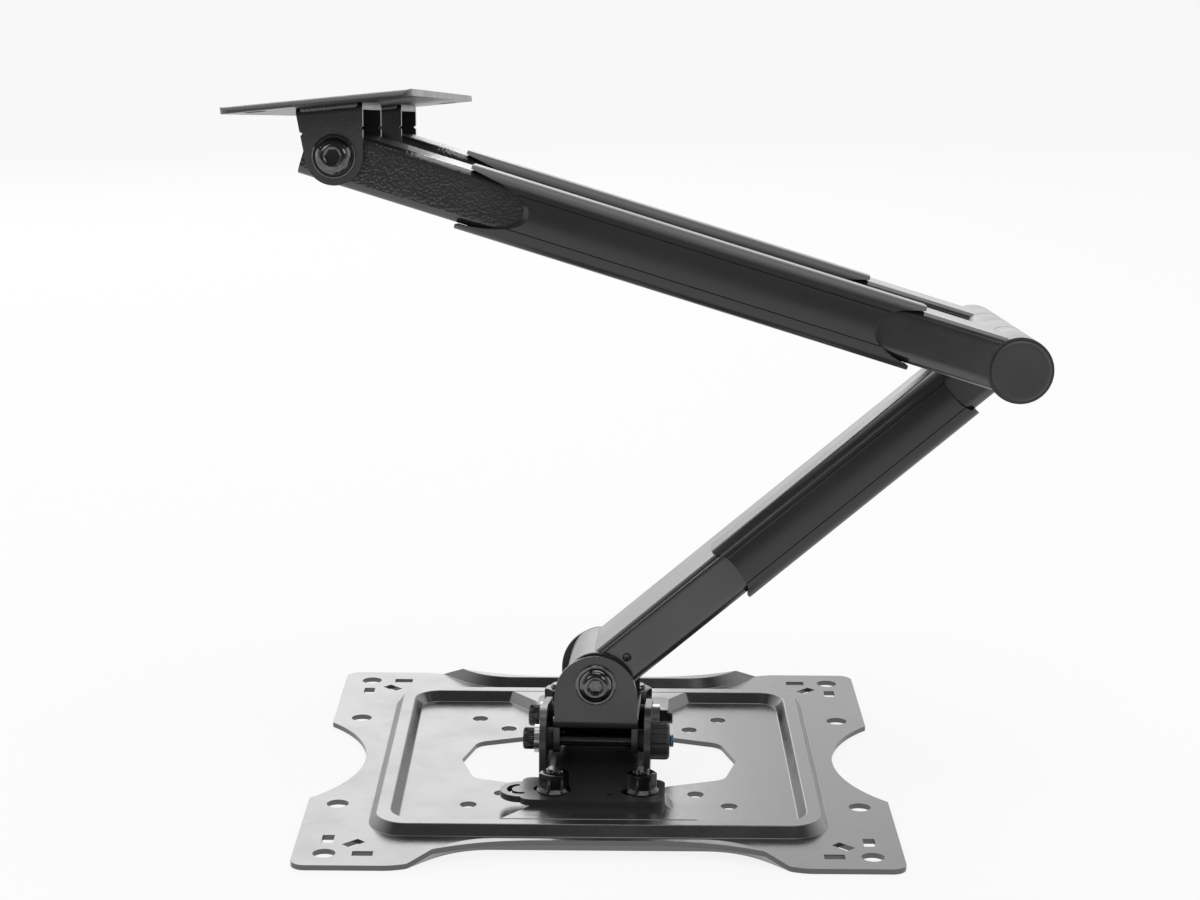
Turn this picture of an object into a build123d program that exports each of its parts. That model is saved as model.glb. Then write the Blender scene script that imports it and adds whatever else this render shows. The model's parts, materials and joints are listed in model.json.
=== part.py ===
from build123d import *
from math import atan2, cos, degrees, hypot, radians, sin
import os

# A tilting, swivelling screen wall mount, lying on its screen plate as it is photographed.
# Origin: centre of the screen plate's hole patterns, on the face that the screen bolts to.
# +Z points away from the screen. Arm joints turn about axes that run along Y when level.

# Standard screen hole patterns
pattern_large, pattern_half, pattern_mid, pattern_small = 200.0, 100.0, 100.0, 75.0

# Screen plate: one pressed sheet with an embossed ring, two platforms and two raised lips
plate_margin = 11.5
plate_size = pattern_large + 2 * plate_margin
plate_corner = 5.5
plate_sheet = 2.0
emboss = 4.0
emboss_slope = 3.0
ring_inset_x, ring_inset_y = 13.5, 17.0
ring_width = 11.0
ring_corner = 15.0
platform_wide, platform_narrow = 43.0, 28.5
platform_reach = 37.0
lip_half, lip_depth = 78.0, 15.5
lip_width = 5.0
side_bay_half, side_bay_depth = 44.0, 17.7
window_x, window_y = 55.0, 38.0
window_waist = 27.0
hole_outer, hole_inner = 8.3, 6.3
tie_slot_length, tie_slot_width, tie_slot_radius = 7.6, 4.4, 14.0

# Level adjustment: four studs in arc slots let the head turn on the plate
level_x = -0.4
level_deg = 2.2
level_play_deg = 3.0
stud_dia = 6.0
stud_x, stud_inset = 16.8, 11.0
stud_head_dia, stud_head = 12.0, 2.2
nut_flat, nut_height, nut_flange_dia, nut_flange = 10.0, 6.0, 13.0, 1.4
stud_above = 1.6
bolt_gap = 0.3

# Tilt bracket: base on the platforms, two ears with arc slots
bracket_sheet = 2.5
bracket_half = 21.5
bracket_tab_half = 27.5
bracket_length = 124.0
tab_length = 24.0
tab_corner = 4.0
lobe_radius = 8.0
lobe_slot_radius, lobe_slot_width = 4.4, 2.0
ear_lock_radius, ear_pivot_radius = 13.3, 7.5
pivot_y, pivot_rise = 10.0, 8.7
tilt_deg = 5.8
tilt_down_deg, tilt_up_deg = 9.2, 8.8
tilt_bolt_dia = 5.0
tilt_slot_gap = 0.2
tilt_head_dia, tilt_head = 8.5, 4.5
tilt_washer_dia, tilt_washer = 11.0, 1.2
spacer_dia, spacer_length = 10.8, 3.0
tilt_nut_flat, tilt_nut = 8.0, 3.4
knob_dia, knob_length = 14.6, 7.3
knob_flutes = 12

# Swivel yoke
yoke_sheet = 2.5
yoke_half = 16.5
yoke_web = 4.2
lock_reach, lock_drop = 33.0, 1.5
cheek_radius = 5.2
lock_disc_radius = 4.4
head_reach, head_rise = 12.3, 22.2
yoke_ear_radius, yoke_ear_top = 16.0, 33.3

# Swivel joints
running_gap = 0.05
sleeve_dia, sleeve_bore = 24.0, 18.0
head_sleeve_length = 50.0
flange_thick = 1.5
bush_depth = 10.0
head_bolt_dia = 8.0
button_dia, button_height = 13.4, 4.4
button_flange_dia, button_flange = 15.6, 1.2
socket_flat, socket_depth = 5.0, 2.6
lock_nut_flat, lock_nut = 13.0, 7.0
elbow_rod_dia = 12.0
cap_dia, cap_rim, cap_plug_dia, cap_plug = 21.6, 2.2, 18.8, 5.0
cap_dish = 1.0

# Arms: box tubes
tube_height, tube_width = 48.0, 19.5
tube_wall, tube_corner = 1.8, 3.0
lower_length, lower_deg = 200.6, 40.3
upper_length, upper_deg = 257.0, 163.4
elbow_gap = 71.0
tube_overrun = 11.5
stop_screw_dia, stop_screw_reach, stop_screw_depth = 3.4, 15.5, 6.0

# Cable covers: clip-on channels over the near narrow side of each tube
cover_wall, cover_half = 1.5, 12.0
cover_crown, cover_bow, cover_lip = 4.6, 2.2, 13.0
cover_corner = 5.5
clip_gap = 0.1
clip_length = 2.0
upper_cover_start, upper_cover_stop, upper_cover_notch = 32.0, 41.0, 16.0
far_cover_shift = 13.0
lower_cover_start, lower_cover_stop, lower_cover_notch = 67.5, 20.1, 8.0

# Wall plate with two welded U brackets
wall_deg = 6.1
wall_drop = 18.0
wall_sheet = 2.4
wall_wide, wall_long = 67.0, 240.0
wall_lip, wall_corner = 5.0, 5.0
wall_slot_length, wall_slot_width = 16.0, 7.0
wall_slot_x, wall_slot_y = 24.0, 108.0
wall_sheet_u = 2.5
wall_ear_top, wall_ear_end = 12.0, 10.4
wall_notch = 1.0
wall_washer_dia, wall_washer = 17.0, 0.9
wall_bolt_dia = 8.0

ring_x = pattern_large / 2 - ring_inset_x
ring_y = pattern_large / 2 - ring_inset_y
stud_y = bracket_length / 2 - stud_inset
pivot_z = plate_sheet + emboss + bracket_sheet + pivot_rise
base_z = plate_sheet + emboss
base_top = base_z + bracket_sheet
half_sleeve = head_sleeve_length / 2
ear_in = half_sleeve + flange_thick + running_gap
ear_out = ear_in + yoke_sheet
tube_in = elbow_gap / 2
tube_out = tube_in + tube_height
tube_half = tube_width / 2
wall_gap = wall_washer + 2 * running_gap

# The chain of joint frames, each one local to the piece that it carries
level = Pos(level_x, 0, 0) * Rot(0, 0, -level_deg)
tilt = level * Pos(0, pivot_y, pivot_z) * Rot(-tilt_deg, 0, 0)
head = tilt * Pos(0, -head_reach, head_rise)
lower = head * Rot(0, -lower_deg, 0)
elbow = lower * Pos(lower_length, 0, 0)
upper = elbow * Rot(0, lower_deg - upper_deg, 0)
wall = upper * Pos(upper_length, 0, 0) * Rot(0, upper_deg - wall_deg, 0)


def save(name, piece, frame=Location()):
    export_step(frame * piece, f"parts/{name}.step")


def bar_x(radius, x0, x1):
    return Pos((x0 + x1) / 2, 0, 0) * Rot(0, 90, 0) * Cylinder(radius, x1 - x0)


def bar_y(radius, y0, y1):
    return Pos(0, (y0 + y1) / 2, 0) * Rot(90, 0, 0) * Cylinder(radius, y1 - y0)


def bar_z(radius, z0, z1):
    return Pos(0, 0, (z0 + z1) / 2) * Cylinder(radius, z1 - z0)


def slab_x(face, x0, x1):
    return Pos(x0, 0, 0) * extrude(Plane.YZ * face, x1 - x0, dir=(1, 0, 0))


def slab_y(face, y0, y1):
    return Pos(0, y0, 0) * extrude(Plane.XZ * face, y1 - y0, dir=(0, 1, 0))


def hexagon(flat, height):
    return extrude(RegularPolygon(flat / 2, 6, major_radius=False), height)


# Screen plate


def mirrored(sketch):
    return sketch + mirror(sketch, Plane.XZ)


def lip_curve(x_start, y_start, x_end, y_end, beyond):
    """Area outside a curve that runs in from the plate's edge and flattens out."""
    span = x_start - x_end
    right = Bezier((x_start, y_start), (x_start - 0.24 * span, y_start),
                   (x_end + 0.62 * span, y_end), (x_end, y_end))
    left = mirror(right, Plane.YZ)
    rim = Polyline((x_start, y_start), (x_start, beyond), (-x_start, beyond), (-x_start, y_start))
    return make_face([right, Line(right @ 1, left @ 1), left, rim])


def plate_outline():
    half = plate_size / 2
    sheet = RectangleRounded(plate_size, plate_size, plate_corner)
    sheet -= mirrored(lip_curve(lip_half, half, lip_half / 4, half - lip_depth, half + 10))
    bay_radius = (side_bay_half ** 2 + side_bay_depth ** 2) / (2 * side_bay_depth)
    for side in (-1, 1):
        sheet -= Pos(side * (half - side_bay_depth + bay_radius), 0) * Circle(bay_radius)
    return sheet


def plate_relief(z):
    """Everything that stands up from the sheet: ring, platforms and lips, with sloping sides."""
    slope = degrees(atan2(emboss_slope, emboss))
    ring = extrude(RectangleRounded(2 * ring_x, 2 * ring_y, ring_corner), emboss, taper=slope)
    inner = RectangleRounded(2 * (ring_x - ring_width), 2 * (ring_y - ring_width), ring_corner / 2)
    ring -= extrude(inner, emboss, taper=-slope)
    y0 = ring_y - ring_width / 2
    pad = Polygon((platform_wide, y0), (-platform_wide, y0), (-platform_narrow, y0 - platform_reach / 2),
                  (-platform_narrow, y0 - platform_reach), (platform_narrow, y0 - platform_reach),
                  (platform_narrow, y0 - platform_reach / 2), align=None)
    pad = fillet(pad.vertices().sort_by(Axis.Y)[:4], 6)
    pad = extrude(pad, emboss, taper=slope)
    half = plate_size / 2
    foot = lip_curve(lip_half - 2, half + 2, lip_half / 2, half - lip_depth - lip_width, half + 20)
    crest = lip_curve(lip_half - 2 - emboss_slope, half + 2 + emboss_slope, lip_half / 2 - emboss_slope / 2,
                      half - lip_depth - lip_width + emboss_slope, half + 20)
    lip = loft([foot, Pos(0, 0, emboss) * crest])
    return [Pos(0, 0, z) * piece for piece in
            (ring, pad, mirror(pad, Plane.XZ), lip, mirror(lip, Plane.XZ))]


def plate_holes():
    holes = Sketch()
    for dx, dy, dia in ((pattern_large, pattern_large, hole_outer), (pattern_large, pattern_half, hole_outer),
                        (pattern_mid, pattern_mid, hole_inner), (pattern_small, pattern_small, hole_inner)):
        holes += GridLocations(dx, dy, 2, 2) * Circle(dia / 2)
    corner = pattern_large / 2
    for sx in (-1, 1):
        for sy in (-1, 1):
            start = {(-1, -1): 0, (1, -1): 90, (1, 1): 180, (-1, 1): 270}[sx, sy]
            spots = PolarLocations(tie_slot_radius, 3, start, 90, endpoint=True)
            for slot in spots * Rectangle(tie_slot_length, tie_slot_width):
                holes += Pos(sx * corner, sy * corner) * slot
    lobe = Polygon((0, window_y), (window_waist * 0.55, window_y), (window_waist, window_y * 0.76),
                   (window_x * 0.9, window_y * 0.55), (window_x, 0), (0, 0), align=None)
    lobe = fillet(lobe.vertices().filter_by(lambda v: v.X > 1 and v.Y > 1), 7)
    lobe += mirror(lobe, Plane.XZ)
    return holes + lobe + mirror(lobe, Plane.YZ)


def screen_plate():
    outline = plate_outline()
    plate = extrude(outline, plate_sheet)
    blank = extrude(outline, plate_sheet + emboss)
    for piece in plate_relief(plate_sheet):
        plate += piece & blank
    for piece in plate_relief(0):
        plate -= piece
    plate -= extrude(plate_holes(), plate_sheet + emboss, dir=(0, 0, 1))
    for x in (-stud_x, stud_x):
        for y in (-stud_y, stud_y):
            plate -= Pos(level_x + x, y) * bar_z(stud_dia / 2 + bolt_gap / 2, 0, base_z)
    return plate


# Level adjustment


def level_stud():
    top = base_top + nut_height + nut_flange + stud_above
    return bar_z(stud_dia / 2, emboss - stud_head, top) + bar_z(stud_head_dia / 2, emboss - stud_head, emboss)


def level_nut():
    nut = bar_z(nut_flange_dia / 2, 0, nut_flange) + hexagon(nut_flat, nut_flange + nut_height)
    return Pos(0, 0, base_top) * (nut - bar_z(stud_dia / 2, 0, 20))


# Tilt bracket


def lock_place():
    """Lock bolt in the level frame, seen from the side, at the photographed tilt."""
    a = radians(-tilt_deg)
    y = pivot_y - lock_reach * cos(a) + lock_drop * sin(a)
    z = pivot_z - lock_reach * sin(a) - lock_drop * cos(a)
    return y, z


def bracket_ear():
    lock_y, lock_z = lock_place()
    lobe = Pos(lock_y, lock_z) * Circle(ear_lock_radius)
    foot_y0, foot_y1 = lock_y - ear_lock_radius, pivot_y + ear_pivot_radius
    foot = Pos((foot_y0 + foot_y1) / 2, base_z + bracket_sheet / 2) * Rectangle(foot_y1 - foot_y0, bracket_sheet)
    face = make_hull((lobe + Pos(pivot_y, pivot_z) * Circle(ear_pivot_radius) + foot).edges())
    face -= Pos(pivot_y, pivot_z) * Circle(tilt_bolt_dia / 2 + tilt_slot_gap / 2)
    angle = degrees(atan2(lock_z - pivot_z, lock_y - pivot_y))
    reach = hypot(lock_y - pivot_y, lock_z - pivot_z)
    path = CenterArc((pivot_y, pivot_z), reach, angle - tilt_down_deg, tilt_down_deg + tilt_up_deg)
    face -= SlotArc(path, tilt_bolt_dia + 2 * tilt_slot_gap)
    return slab_x(face, 0, bracket_sheet)


def level_slots():
    """Arc slots round the studs, as wide as the level adjustment turns."""
    slots = Sketch()
    reach = hypot(stud_x, stud_y)
    for x in (-stud_x, stud_x):
        for y in (-stud_y, stud_y):
            angle = degrees(atan2(y, x))
            path = CenterArc((0, 0), reach, angle - level_play_deg, 2 * level_play_deg)
            slots += SlotArc(path, stud_dia + 2 * bolt_gap)
    return slots


def tilt_bracket():
    base = Rectangle(2 * bracket_half, bracket_length)
    tab_y = (bracket_length - tab_length) / 2
    for side in (-1, 1):
        base += Pos(0, side * tab_y) * RectangleRounded(2 * bracket_tab_half, tab_length, tab_corner)
    lobe = Pos(-bracket_tab_half, -stud_y)
    base += lobe * Circle(lobe_radius)
    base -= lobe * SlotArc(CenterArc((0, 0), lobe_slot_radius, 110, 170), lobe_slot_width)
    base -= Pos(stud_x * 0.4, -stud_y - 4) * Rectangle(2.2, 2.2)
    base -= level_slots()
    bracket = Pos(0, 0, base_z) * extrude(base, bracket_sheet)
    ear = bracket_ear()
    bracket += Pos(bracket_half - bracket_sheet, 0, 0) * ear
    bracket += Pos(-bracket_half, 0, 0) * ear
    inner = bracket.edges().filter_by(Axis.Y).filter_by(
        lambda e: abs(abs(e.center().X) - bracket_half + bracket_sheet) < 0.01 and abs(e.center().Z - base_top) < 0.01)
    return fillet(inner, 1.2)


# Tilt hardware: all of it lies along X through the bracket's ears and the yoke's cheeks


def cap_screw(x0, x1):
    """Socket cap screw from the left, its head's underside at x0."""
    screw = bar_x(tilt_bolt_dia / 2, x0, x1) + bar_x(tilt_head_dia / 2, x0 - tilt_head, x0)
    socket = Rot(0, 90, 0) * hexagon(tilt_head_dia * 0.47, tilt_head * 0.55)
    return screw - Pos(x0 - tilt_head, 0, 0) * socket


def ring_x_axis(radius, x0, x1):
    return bar_x(radius, x0, x1) - bar_x(tilt_bolt_dia / 2, x0, x1)


def tilt_knob():
    knob = bar_x(knob_dia / 2, 0, knob_length)
    knob = fillet(knob.edges().sort_by(Axis.X)[-1], 1.6)
    for i in range(knob_flutes):
        groove = Pos(0, 0, knob_dia / 2 + 0.55) * bar_x(1.1, 0, knob_length)
        knob -= Rot(360 / knob_flutes * i, 0, 0) * groove
    return knob - bar_x(tilt_bolt_dia / 2 + running_gap, 0, knob_length)


# Swivel yoke: one bent sheet with two ears up and two cheeks down, in the tilt frame


def swivel_yoke():
    near, far = -head_reach - ear_out, -head_reach + ear_out
    top = yoke_web + yoke_sheet
    u = Polygon((near, yoke_web), (far, yoke_web), (far, yoke_ear_top), (far - yoke_sheet, yoke_ear_top),
                (far - yoke_sheet, top), (near + yoke_sheet, top), (near + yoke_sheet, yoke_ear_top),
                (near, yoke_ear_top), align=None)
    u = fillet(u.vertices().filter_by(lambda v: v.Y < yoke_web + 0.01), yoke_sheet + 1)
    u = fillet(u.vertices().filter_by(lambda v: abs(v.Y - top) < 0.01), 1)
    yoke = slab_x(u, -yoke_half, yoke_half)
    arch = Pos(0, yoke_ear_top - yoke_ear_radius) * Circle(yoke_ear_radius)
    arch += Pos(0, (yoke_ear_top - yoke_ear_radius + top) / 2) * Rectangle(
        2 * yoke_ear_radius, yoke_ear_top - yoke_ear_radius - top)
    arch += Pos(0, top / 2) * Rectangle(2 * yoke_half, top + 4)
    yoke &= slab_y(arch, near, far)
    lock = Pos(-lock_reach, -lock_drop) * Circle(cheek_radius)
    edge = Pos(-lock_reach / 2, top - yoke_sheet / 2 - 1.5) * Rectangle(lock_reach + 2 * cheek_radius, yoke_sheet)
    cheek = make_hull((lock + Circle(cheek_radius) + edge).edges())
    for x in (-yoke_half, yoke_half - yoke_sheet):
        yoke += slab_x(cheek, x, x + yoke_sheet)
    for y, z, gap in ((0, 0, running_gap), (-lock_reach, -lock_drop, 0)):
        yoke -= Pos(0, y, z) * bar_x(tilt_bolt_dia / 2 + gap, -yoke_half, yoke_half)
    return yoke - Pos(0, -head_reach, head_rise) * bar_y(head_bolt_dia / 2, -ear_out, ear_out)


# Swivel hardware, along Y in the frame of its own joint


def button_bolt(dia, y0, y1):
    """Flanged button-head bolt from the near side, its head's underside at y0."""
    head_part = bar_y(button_dia / 2, y0 - button_height, y0)
    head_part = fillet(head_part.edges().sort_by(Axis.Y)[0], button_height * 0.85)
    head_part += bar_y(button_flange_dia / 2, y0 - button_flange, y0)
    socket = Pos(0, y0 - button_height, 0) * Rot(-90, 0, 0) * hexagon(socket_flat, socket_depth)
    return head_part - socket + bar_y(dia / 2, y0, y1)


def lock_nut_y(dia, y0):
    nut = Pos(0, y0, 0) * Rot(-90, 0, 0) * hexagon(lock_nut_flat, lock_nut)
    return nut - bar_y(dia / 2, y0, y0 + lock_nut)


def flanged_bush(bore, y_face, side):
    """Plastic bush in a sleeve's end: its flange lies on the sleeve's face."""
    y_flange, y_end = y_face + side * flange_thick, y_face - side * bush_depth
    bush = bar_y(sleeve_dia / 2, min(y_face, y_flange), max(y_face, y_flange))
    bush += bar_y(sleeve_bore / 2, min(y_face, y_end), max(y_face, y_end))
    return bush - bar_y(bore / 2, min(y_flange, y_end), max(y_flange, y_end))


def box_tube(x0, x1, y0, y1):
    outer = RectangleRounded(tube_height, tube_width, tube_corner)
    inner = RectangleRounded(tube_height - 2 * tube_wall, tube_width - 2 * tube_wall, tube_corner - tube_wall)
    return Pos(0, (y0 + y1) / 2, 0) * slab_x(outer - inner, x0, x1)


def tube_sleeve(bore, y0, y1):
    return bar_y(sleeve_dia / 2, y0, y1) - bar_y(bore / 2, y0, y1)


def lower_tube():
    reach = tube_height / 2
    tube = box_tube(0, lower_length, -reach, reach)
    for x in (0, lower_length):
        tube -= Pos(x, 0, 0) * bar_y(sleeve_dia / 2, -reach, reach)
    screw = Pos(stop_screw_reach, 0, 0) * bar_y(stop_screw_dia / 2, -reach, -reach + tube_wall)
    return tube - screw


def upper_tube(y0, y1):
    tube = box_tube(0, upper_length + tube_overrun, y0, y1) - bar_y(sleeve_dia / 2, y0, y1)
    return tube - Pos(upper_length, 0, 0) * bar_y(wall_bolt_dia / 2 + running_gap, y0, y1)


def elbow_sleeve():
    return tube_sleeve(sleeve_bore, -tube_in + flange_thick + running_gap, tube_in - flange_thick - running_gap)


def outer_sleeve(side):
    y0, y1 = (tube_in, tube_out) if side > 0 else (-tube_out, -tube_in)
    sleeve = tube_sleeve(elbow_rod_dia, y0, y1)
    mouth = (tube_out - cap_plug, tube_out) if side > 0 else (-tube_out, -tube_out + cap_plug)
    return sleeve - bar_y(cap_plug_dia / 2, *mouth)


def elbow_cap(side):
    """Dished plastic cap with a plug that presses into the sleeve's mouth."""
    cap = bar_y(cap_dia / 2, tube_out, tube_out + cap_rim)
    cap = fillet(cap.edges().sort_by(Axis.Y)[-1], 1.2)
    dish_radius = ((cap_dia / 2 - 2) ** 2 + cap_dish ** 2) / (2 * cap_dish)
    cap -= Pos(0, tube_out + cap_rim - cap_dish + dish_radius, 0) * Sphere(dish_radius)
    cap += bar_y(cap_plug_dia / 2, tube_out - cap_plug, tube_out)
    return cap if side > 0 else mirror(cap, Plane.XZ)


# Cable covers


def cover_section():
    """Channel round a tube's near side, in (y, z) with the tube's near face at y = 0."""
    front, back = -cover_crown, cover_lip
    crown = ThreePointArc((front + cover_bow, -cover_half), (front, 0), (front + cover_bow, cover_half))
    outer = make_face([crown, Polyline(crown @ 1, (back, cover_half), (back, -cover_half), crown @ 0)])
    outer = fillet(outer.vertices().sort_by(Axis.X)[:2], cover_corner)
    inner = offset(outer, -cover_wall) + Pos(back, 0) * Rectangle(4 * cover_wall, 2 * (cover_half - cover_wall))
    seat = tube_half + clip_gap
    for side in (-1, 1):
        rib = Pos(back - clip_length / 2, side * (seat + cover_half) / 2)
        inner -= rib * Rectangle(clip_length, cover_half - seat)
    return outer - inner


def cable_cover(x0, x1, notch, y_face):
    """Cover from x0 to x1, with a round notch in each end."""
    cover = Pos(0, y_face, 0) * slab_x(cover_section(), x0, x1)
    radius = (cover_half ** 2 + notch ** 2) / (2 * notch)
    for x in (x0 + notch - radius, x1 - notch + radius):
        cover -= Pos(x, y_face, 0) * bar_y(radius, -2 * cover_crown, 2 * cover_lip)
    return cover


# Wall plate


def wall_plate():
    top = wall_drop + wall_sheet
    edge = wall_long / 2
    section = Polygon((-edge, top), (edge, top), (edge, top - wall_lip), (edge - wall_sheet, top - wall_lip),
                      (edge - wall_sheet, wall_drop), (wall_sheet - edge, wall_drop),
                      (wall_sheet - edge, top - wall_lip), (-edge, top - wall_lip), align=None)
    section = fillet(section.vertices().filter_by(lambda v: v.Y > top - 0.01), wall_sheet + 0.8)
    section = fillet(section.vertices().filter_by(lambda v: abs(v.Y - wall_drop) < 0.01), 0.8)
    plate = slab_x(section, -wall_wide / 2, wall_wide / 2)
    blank = extrude(RectangleRounded(wall_wide, wall_long, wall_corner), 2 * top)
    plate &= blank
    slot = SlotOverall(wall_slot_length, wall_slot_width, rotation=90)
    cuts = Sketch() + GridLocations(2 * wall_slot_x, 2 * (wall_slot_y - wall_slot_length / 2), 2, 2) * slot
    return plate - Pos(0, 0, wall_drop) * extrude(cuts, wall_sheet, dir=(0, 0, 1))


def wall_bracket(side):
    """U bracket: a web under the plate and two tapering ears that hold one tube."""
    inner, outer = tube_in - wall_gap, tube_out + wall_gap
    web = wall_drop - wall_sheet_u
    u = Polygon((inner - wall_sheet_u, wall_drop), (outer + wall_sheet_u, wall_drop),
                (outer + wall_sheet_u, -wall_ear_end), (outer, -wall_ear_end), (outer, web), (inner, web),
                (inner, -wall_ear_end), (inner - wall_sheet_u, -wall_ear_end), align=None)
    u = fillet(u.vertices().filter_by(lambda v: v.Y > wall_drop - 0.01), wall_sheet_u + 0.5)
    u = fillet(u.vertices().filter_by(lambda v: abs(v.Y - web) < 0.01), 0.5)
    bracket = slab_x(u, -wall_ear_top, wall_ear_top)
    ear = make_hull((Circle(wall_ear_end) + Pos(0, wall_drop - 0.5) * Rectangle(2 * wall_ear_top, 1)).edges())
    for x in (-1, 1):
        ear -= Pos(x * (wall_ear_top - 0.9), wall_drop / 2) * Rot(0, 0, 45) * Rectangle(wall_notch, wall_notch)
    bracket &= slab_y(ear, inner - wall_sheet_u, outer + wall_sheet_u)
    bracket -= bar_y(wall_bolt_dia / 2, inner - wall_sheet_u, outer + wall_sheet_u)
    return bracket if side > 0 else mirror(bracket, Plane.XZ)


def wall_ring(y0):
    return bar_y(wall_washer_dia / 2, y0, y0 + wall_washer) - bar_y(wall_bolt_dia / 2, y0, y0 + wall_washer)


os.makedirs("parts", exist_ok=True)

save("screen_plate", screen_plate())
corners = {"front_left": (-1, -1), "front_right": (1, -1), "rear_left": (-1, 1), "rear_right": (1, 1)}
for place, (sx, sy) in corners.items():
    spot = Pos(level_x + sx * stud_x, sy * stud_y, 0)
    save(f"level_stud_{place}", level_stud(), spot)
    save(f"level_nut_{place}", level_nut(), spot)

save("tilt_bracket", tilt_bracket(), level)

ear_x, cheek_x = bracket_half, yoke_half
under_head = -ear_x - 2 * tilt_washer
pivot_frame = level * Pos(0, pivot_y, pivot_z)
nut_x = ear_x + spacer_length
save("pivot_bolt", cap_screw(under_head, nut_x + tilt_nut + 1.8), pivot_frame)
save("pivot_washer_left", ring_x_axis(tilt_washer_dia / 2, under_head, -ear_x), pivot_frame)
save("pivot_spacer", ring_x_axis(spacer_dia / 2, ear_x, nut_x), pivot_frame)
pivot_nut = Pos(nut_x, 0, 0) * Rot(0, 90, 0) * hexagon(tilt_nut_flat, tilt_nut)
save("pivot_nut", pivot_nut - bar_x(tilt_bolt_dia / 2, nut_x, nut_x + tilt_nut), pivot_frame)

lock_frame = tilt * Pos(0, -lock_reach, -lock_drop)
disc = ear_x - bracket_sheet - cheek_x - running_gap
for place, frame, gap, radius in (("pivot", tilt, running_gap, cheek_radius), ("lock", lock_frame, 0, lock_disc_radius)):
    x0 = cheek_x + gap
    save(f"{place}_disc_left", ring_x_axis(radius, -x0 - disc, -x0), frame)
    save(f"{place}_disc_right", ring_x_axis(radius, x0, x0 + disc), frame)
knob_x = ear_x + running_gap
save("lock_bolt", cap_screw(under_head - running_gap, knob_x + knob_length + 1.6), lock_frame)
save("lock_washer", ring_x_axis(tilt_washer_dia / 2, under_head - running_gap, -ear_x - running_gap), lock_frame)
save("tilt_knob", Pos(knob_x, 0, 0) * tilt_knob(), lock_frame)

save("swivel_yoke", swivel_yoke(), tilt)
save("head_bolt", button_bolt(head_bolt_dia, -ear_out, ear_out + lock_nut + 1), head)
save("head_nut", lock_nut_y(head_bolt_dia, ear_out), head)

save("head_sleeve", tube_sleeve(sleeve_bore, -half_sleeve, half_sleeve), lower)
save("head_bush_near", flanged_bush(head_bolt_dia + 2 * running_gap, -half_sleeve, -1), lower)
save("head_bush_far", flanged_bush(head_bolt_dia + 2 * running_gap, half_sleeve, 1), lower)
save("lower_tube", lower_tube(), lower)
stop_screw = Pos(stop_screw_reach, 0, 0) * bar_y(stop_screw_dia / 2, -tube_height / 2, stop_screw_depth - tube_height / 2)
save("stop_screw", stop_screw, lower)
lower_cover_end = lower_length - lower_cover_stop
lower_cover = cable_cover(lower_cover_start, lower_cover_end, lower_cover_notch, -tube_height / 2)
save("lower_cover", lower_cover, lower)
save("elbow_sleeve", elbow_sleeve(), elbow)
elbow_face = tube_in - flange_thick - running_gap
save("elbow_bush_near", flanged_bush(elbow_rod_dia + 2 * running_gap, -elbow_face, -1), elbow)
save("elbow_bush_far", flanged_bush(elbow_rod_dia + 2 * running_gap, elbow_face, 1), elbow)

save("elbow_rod", bar_y(elbow_rod_dia / 2, -tube_out + cap_plug, tube_out - cap_plug), upper)
for place, side in (("near", -1), ("far", 1)):
    y0, y1 = (tube_in, tube_out) if side > 0 else (-tube_out, -tube_in)
    save(f"upper_tube_{place}", upper_tube(y0, y1), upper)
    save(f"upper_sleeve_{place}", outer_sleeve(side), upper)
    save(f"elbow_cap_{place}", elbow_cap(side), upper)
    shift = far_cover_shift if side > 0 else 0
    cover_end = upper_length - upper_cover_stop + shift
    cover = cable_cover(upper_cover_start + shift, cover_end, upper_cover_notch, y0)
    save(f"upper_cover_{place}", cover, upper)

save("wall_plate", wall_plate(), wall)
for place, side in (("near", -1), ("far", 1)):
    save(f"wall_bracket_{place}", wall_bracket(side), wall)
    outer = tube_out + wall_gap + wall_sheet_u
    inner = tube_in - wall_gap - wall_sheet_u
    bolt = button_bolt(wall_bolt_dia, -outer, -inner + lock_nut + 1)
    nut = lock_nut_y(wall_bolt_dia, -inner)
    save(f"wall_bolt_{place}", bolt if side < 0 else mirror(bolt, Plane.XZ), wall)
    save(f"wall_nut_{place}", nut if side < 0 else mirror(nut, Plane.XZ), wall)
    for end, y in (("outer", tube_out + running_gap), ("inner", tube_in - running_gap - wall_washer)):
        save(f"wall_washer_{place}_{end}", wall_ring(y if side > 0 else -y - wall_washer), wall)
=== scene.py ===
import json
from math import cos, pi, radians, sin, tau

import bmesh
import bpy
from mathutils import Matrix, Vector, noise as ripple


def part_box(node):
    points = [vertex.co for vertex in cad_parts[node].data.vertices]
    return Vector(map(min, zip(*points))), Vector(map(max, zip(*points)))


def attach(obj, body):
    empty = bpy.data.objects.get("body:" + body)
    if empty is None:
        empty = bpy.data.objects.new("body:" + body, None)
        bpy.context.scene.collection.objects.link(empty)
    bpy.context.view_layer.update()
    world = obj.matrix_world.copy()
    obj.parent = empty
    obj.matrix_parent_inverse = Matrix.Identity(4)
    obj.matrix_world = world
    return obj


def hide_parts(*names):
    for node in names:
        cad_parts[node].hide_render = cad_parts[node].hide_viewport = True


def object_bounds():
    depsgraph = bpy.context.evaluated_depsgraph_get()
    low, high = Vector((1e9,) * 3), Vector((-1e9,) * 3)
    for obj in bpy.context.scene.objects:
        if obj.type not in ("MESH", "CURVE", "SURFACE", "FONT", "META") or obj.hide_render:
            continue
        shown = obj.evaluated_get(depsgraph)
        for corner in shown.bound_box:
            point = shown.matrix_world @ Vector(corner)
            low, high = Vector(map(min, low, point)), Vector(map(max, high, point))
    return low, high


# A black screen wall mount that lies on its screen plate, on a pale studio floor.
# Lengths are in metres. Names that end in _mm, and shapes made in a place of their own, are in
# millimetres.

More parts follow.
